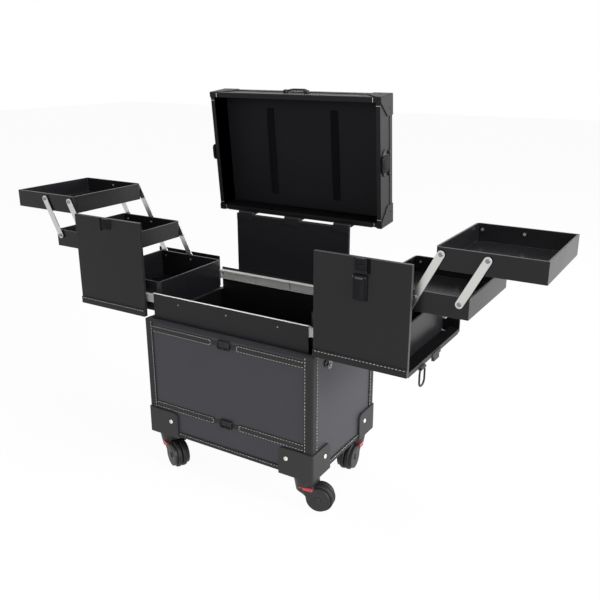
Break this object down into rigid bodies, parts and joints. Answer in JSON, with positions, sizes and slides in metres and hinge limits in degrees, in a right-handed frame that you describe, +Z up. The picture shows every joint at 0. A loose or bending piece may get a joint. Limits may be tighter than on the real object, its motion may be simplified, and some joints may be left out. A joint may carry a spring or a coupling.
{
  "type": "makeup train case",
  "caption": "Rolling makeup train case opened out, with trays that fold on parallel arms over sliding half cases, a hinged lid and swivel casters.",
  "frame": {"origin": "on the ground under the middle of the low box", "axes": "+Z up, front faces -Y, +X to the right seen from the front"},
  "size_m": [1.058, 0.3002, 0.7087],
  "materials": {
    "black_leather": "fine grained coated fabric over board",
    "black_board": "matte dark trim",
    "tray_board": "covered tray board, matte",
    "satin_steel": "satin",
    "dark_metal": "black lacquer",
    "black_plastic": "moulded, matte",
    "wheel_rubber": "smooth rubber tread",
    "red_plastic": "glossy red"
  },
  "bodies": {
    "base": {"case_shell": "black_leather", "edge_trims": "black_board", "front_buckles": "dark_metal", "corner_bumpers": "black_plastic", "base_rivets": "satin_steel", "liner_walls": "black_board", "slide_channels": "satin_steel", "back_plate": "black_leather", "hinge_fixed_leaves": "dark_metal", "hinge_pins": "dark_metal", "side_catches": "dark_metal"},
    "lid": {"lid_shell": "black_leather", "lid_rim": "black_board", "lid_corner_caps": "black_leather", "hinge_lid_leaves": "dark_metal", "lid_fittings": "dark_metal"},
    "lid_handle": {"lid_handle": "dark_metal"},
    "left_lid_latch": {"left_lid_latch": "dark_metal"},
    "right_lid_latch": {"right_lid_latch": "dark_metal"},
    "right_panel_lever": {"right_panel_lever": "dark_metal"},
    "right_half": {"right_front_panel": "black_leather", "right_ledge": "black_board", "right_low_tray": "tray_board", "right_slide_bars": "satin_steel", "right_panel_catch": "dark_metal"},
    "right_slide_middles": {"right_slide_middles": "satin_steel"},
    "right_bail": {"right_bail": "dark_metal"},
    "right_lower_outer_arms": {"right_lower_outer_arms": "satin_steel"},
    "right_lower_inner_arms": {"right_lower_inner_arms": "satin_steel"},
    "right_middle_tray": {"right_middle_tray": "tray_board"},
    "right_upper_outer_arms": {"right_upper_outer_arms": "satin_steel"},
    "right_upper_inner_arms": {"right_upper_inner_arms": "satin_steel"},
    "right_top_tray": {"right_top_tray": "tray_board"},
    "left_half": {"left_front_panel": "black_leather", "left_ledge": "black_board", "left_low_tray": "tray_board", "left_slide_bars": "satin_steel", "left_panel_catch": "dark_metal"},
    "left_slide_middles": {"left_slide_middles": "satin_steel"},
    "left_bail": {"left_bail": "dark_metal"},
    "left_lower_outer_arms": {"left_lower_outer_arms": "satin_steel"},
    "left_lower_inner_arms": {"left_lower_inner_arms": "satin_steel"},
    "left_middle_tray": {"left_middle_tray": "tray_board"},
    "left_upper_outer_arms": {"left_upper_outer_arms": "satin_steel"},
    "left_upper_inner_arms": {"left_upper_inner_arms": "satin_steel"},
    "left_top_tray": {"left_top_tray": "tray_board"},
    "caster_fork_front_right": {"caster_fork_front_right": "black_plastic"},
    "caster_wheels_front_right": {"caster_wheels_front_right": "wheel_rubber"},
    "caster_lock_front_right": {"caster_lock_front_right": "red_plastic"},
    "caster_fork_front_left": {"caster_fork_front_left": "black_plastic"},
    "caster_wheels_front_left": {"caster_wheels_front_left": "wheel_rubber"},
    "caster_lock_front_left": {"caster_lock_front_left": "red_plastic"},
    "caster_fork_rear_right": {"caster_fork_rear_right": "black_plastic"},
    "caster_wheels_rear_right": {"caster_wheels_rear_right": "wheel_rubber"},
    "caster_lock_rear_right": {"caster_lock_rear_right": "red_plastic"},
    "caster_fork_rear_left": {"caster_fork_rear_left": "black_plastic"},
    "caster_wheels_rear_left": {"caster_wheels_rear_left": "wheel_rubber"},
    "caster_lock_rear_left": {"caster_lock_rear_left": "red_plastic"}
  },
  "joints": [
    {"name": "lid_hinge", "type": "hinge", "parent": "base", "child": "lid", "pos_m": [0, 0.113, 0.469], "axis": [1, 0, 0], "range_deg": [0, 84.4]},
    {"name": "lid_handle_fold", "type": "hinge", "parent": "lid", "child": "lid_handle", "pos_m": [0, 0.12699, 0.70549], "axis": [1, 0, 0], "range_deg": [0, 90]},
    {"name": "right_lid_latch_swing", "type": "hinge", "parent": "lid", "child": "right_lid_latch", "pos_m": [0.1865, 0.13969, 0.58616], "axis": [0, -0.0976, 0.9952], "range_deg": [0, 90]},
    {"name": "left_lid_latch_swing", "type": "hinge", "parent": "lid", "child": "left_lid_latch", "pos_m": [-0.1865, 0.13969, 0.58616], "axis": [0, 0.0976, -0.9952], "range_deg": [0, 90]},
    {"name": "right_panel_lever_swing", "type": "hinge", "parent": "right_half", "child": "right_panel_lever", "pos_m": [0.263, -0.1205, 0.4525], "axis": [-1, 0, 0], "range_deg": [0, 90]},
    {"name": "right_slide", "type": "slide", "parent": "base", "child": "right_half", "axis": [-1, 0, 0], "range_m": [0, 0.16]},
    {"name": "right_slide_middle", "type": "slide", "parent": "base", "child": "right_slide_middles", "axis": [-1, 0, 0], "range_m": [0, 0.08]},
    {"name": "right_bail_swing", "type": "hinge", "parent": "right_half", "child": "right_bail", "pos_m": [0.3482, -0.062, 0.304], "axis": [0, -1, 0], "range_deg": [0, 180]},
    {"name": "right_lower_fold", "type": "hinge", "parent": "right_half", "child": "right_lower_outer_arms", "pos_m": [0.3072, 0, 0.359], "axis": [0, -1, 0], "range_deg": [0, 87.7]},
    {"name": "right_lower_inner_swing", "type": "hinge", "parent": "right_half", "child": "right_lower_inner_arms", "pos_m": [0.2392, 0, 0.359], "axis": [0, -1, 0], "range_deg": [0, 87.7]},
    {"name": "right_middle_tray_level", "type": "hinge", "parent": "right_lower_outer_arms", "child": "right_middle_tray", "pos_m": [0.3432, 0, 0.4285], "axis": [0, -1, 0], "range_deg": [-87.7, 0]},
    {"name": "right_upper_fold", "type": "hinge", "parent": "right_middle_tray", "child": "right_upper_outer_arms", "pos_m": [0.4112, 0, 0.4285], "axis": [0, -1, 0], "range_deg": [0, 87.7]},
    {"name": "right_upper_inner_swing", "type": "hinge", "parent": "right_middle_tray", "child": "right_upper_inner_arms", "pos_m": [0.3432, 0, 0.4285], "axis": [0, -1, 0], "range_deg": [0, 87.7]},
    {"name": "right_top_tray_level", "type": "hinge", "parent": "right_upper_outer_arms", "child": "right_top_tray", "pos_m": [0.4472, 0, 0.498], "axis": [0, -1, 0], "range_deg": [-87.7, 0]},
    {"name": "left_slide", "type": "slide", "parent": "base", "child": "left_half", "axis": [1, 0, 0], "range_m": [0, 0.16]},
    {"name": "left_slide_middle", "type": "slide", "parent": "base", "child": "left_slide_middles", "axis": [1, 0, 0], "range_m": [0, 0.08]},
    {"name": "left_bail_swing", "type": "hinge", "parent": "left_half", "child": "left_bail", "pos_m": [-0.3482, -0.062, 0.304], "axis": [0, -1, 0], "range_deg": [0, 180]},
    {"name": "left_lower_fold", "type": "hinge", "parent": "left_half", "child": "left_lower_outer_arms", "pos_m": [-0.3072, 0, 0.359], "axis": [0, 1, 0], "range_deg": [0, 87.7]},
    {"name": "left_lower_inner_swing", "type": "hinge", "parent": "left_half", "child": "left_lower_inner_arms", "pos_m": [-0.2392, 0, 0.359], "axis": [0, 1, 0], "range_deg": [0, 87.7]},
    {"name": "left_middle_tray_level", "type": "hinge", "parent": "left_lower_outer_arms", "child": "left_middle_tray", "pos_m": [-0.3432, 0, 0.4285], "axis": [0, 1, 0], "range_deg": [-87.7, 0]},
    {"name": "left_upper_fold", "type": "hinge", "parent": "left_middle_tray", "child": "left_upper_outer_arms", "pos_m": [-0.4112, 0, 0.4285], "axis": [0, 1, 0], "range_deg": [0, 87.7]},
    {"name": "left_upper_inner_swing", "type": "hinge", "parent": "left_middle_tray", "child": "left_upper_inner_arms", "pos_m": [-0.3432, 0, 0.4285], "axis": [0, 1, 0], "range_deg": [0, 87.7]},
    {"name": "left_top_tray_level", "type": "hinge", "parent": "left_upper_outer_arms", "child": "left_top_tray", "pos_m": [-0.4472, 0, 0.498], "axis": [0, 1, 0], "range_deg": [-87.7, 0]},
    {"name": "swivel_front_right", "type": "hinge", "parent": "base", "child": "caster_fork_front_right", "pos_m": [0.155, -0.09, 0.065], "axis": [0, 0, 1], "continuous": true},
    {"name": "roll_front_right", "type": "hinge", "parent": "caster_fork_front_right", "child": "caster_wheels_front_right", "pos_m": [0.18061, -0.08549, 0.026], "axis": [-0.1736, 0.9848, 0], "continuous": true},
    {"name": "lock_front_right", "type": "slide", "parent": "caster_fork_front_right", "child": "caster_lock_front_right", "axis": [-0.1736, 0.9848, 0], "range_m": [-0.0015, 0.0015]},
    {"name": "swivel_front_left", "type": "hinge", "parent": "base", "child": "caster_fork_front_left", "pos_m": [-0.155, -0.09, 0.065], "axis": [0, 0, 1], "continuous": true},
    {"name": "roll_front_left", "type": "hinge", "parent": "caster_fork_front_left", "child": "caster_wheels_front_left", "pos_m": [-0.13183, -0.1018, 0.026], "axis": [0.454, 0.891, 0], "continuous": true},
    {"name": "lock_front_left", "type": "slide", "parent": "caster_fork_front_left", "child": "caster_lock_front_left", "axis": [0.454, 0.891, 0], "range_m": [-0.0015, 0.0015]},
    {"name": "swivel_rear_right", "type": "hinge", "parent": "base", "child": "caster_fork_rear_right", "pos_m": [0.155, 0.09, 0.065], "axis": [0, 0, 1], "continuous": true},
    {"name": "roll_rear_right", "type": "hinge", "parent": "caster_fork_rear_right", "child": "caster_wheels_rear_right", "pos_m": [0.15772, 0.06414, 0.026], "axis": [0.9945, 0.1045, 0], "continuous": true},
    {"name": "lock_rear_right", "type": "slide", "parent": "caster_fork_rear_right", "child": "caster_lock_rear_right", "axis": [0.9945, 0.1045, 0], "range_m": [-0.0015, 0.0015]},
    {"name": "swivel_rear_left", "type": "hinge", "parent": "base", "child": "caster_fork_rear_left", "pos_m": [-0.155, 0.09, 0.065], "axis": [0, 0, 1], "continuous": true},
    {"name": "roll_rear_left", "type": "hinge", "parent": "caster_fork_rear_left", "child": "caster_wheels_rear_left", "pos_m": [-0.13144, 0.07901, 0.026], "axis": [0.4226, 0.9063, 0], "continuous": true},
    {"name": "lock_rear_left", "type": "slide", "parent": "caster_fork_rear_left", "child": "caster_lock_rear_left", "axis": [0.4226, 0.9063, 0], "range_m": [-0.0015, 0.0015]}
  ],
  "couplings": [
    {"joint": "right_slide_middle", "follows": "right_slide", "ratio": 0.5},
    {"joint": "right_lower_inner_swing", "follows": "right_lower_fold", "ratio": 1},
    {"joint": "right_middle_tray_level", "follows": "right_lower_fold", "ratio": -1},
    {"joint": "right_upper_inner_swing", "follows": "right_upper_fold", "ratio": 1},
    {"joint": "right_top_tray_level", "follows": "right_upper_fold", "ratio": -1},
    {"joint": "left_slide_middle", "follows": "left_slide", "ratio": 0.5},
    {"joint": "left_lower_inner_swing", "follows": "left_lower_fold", "ratio": 1},
    {"joint": "left_middle_tray_level", "follows": "left_lower_fold", "ratio": -1},
    {"joint": "left_upper_inner_swing", "follows": "left_upper_fold", "ratio": 1},
    {"joint": "left_top_tray_level", "follows": "left_upper_fold", "ratio": -1}
  ]
}
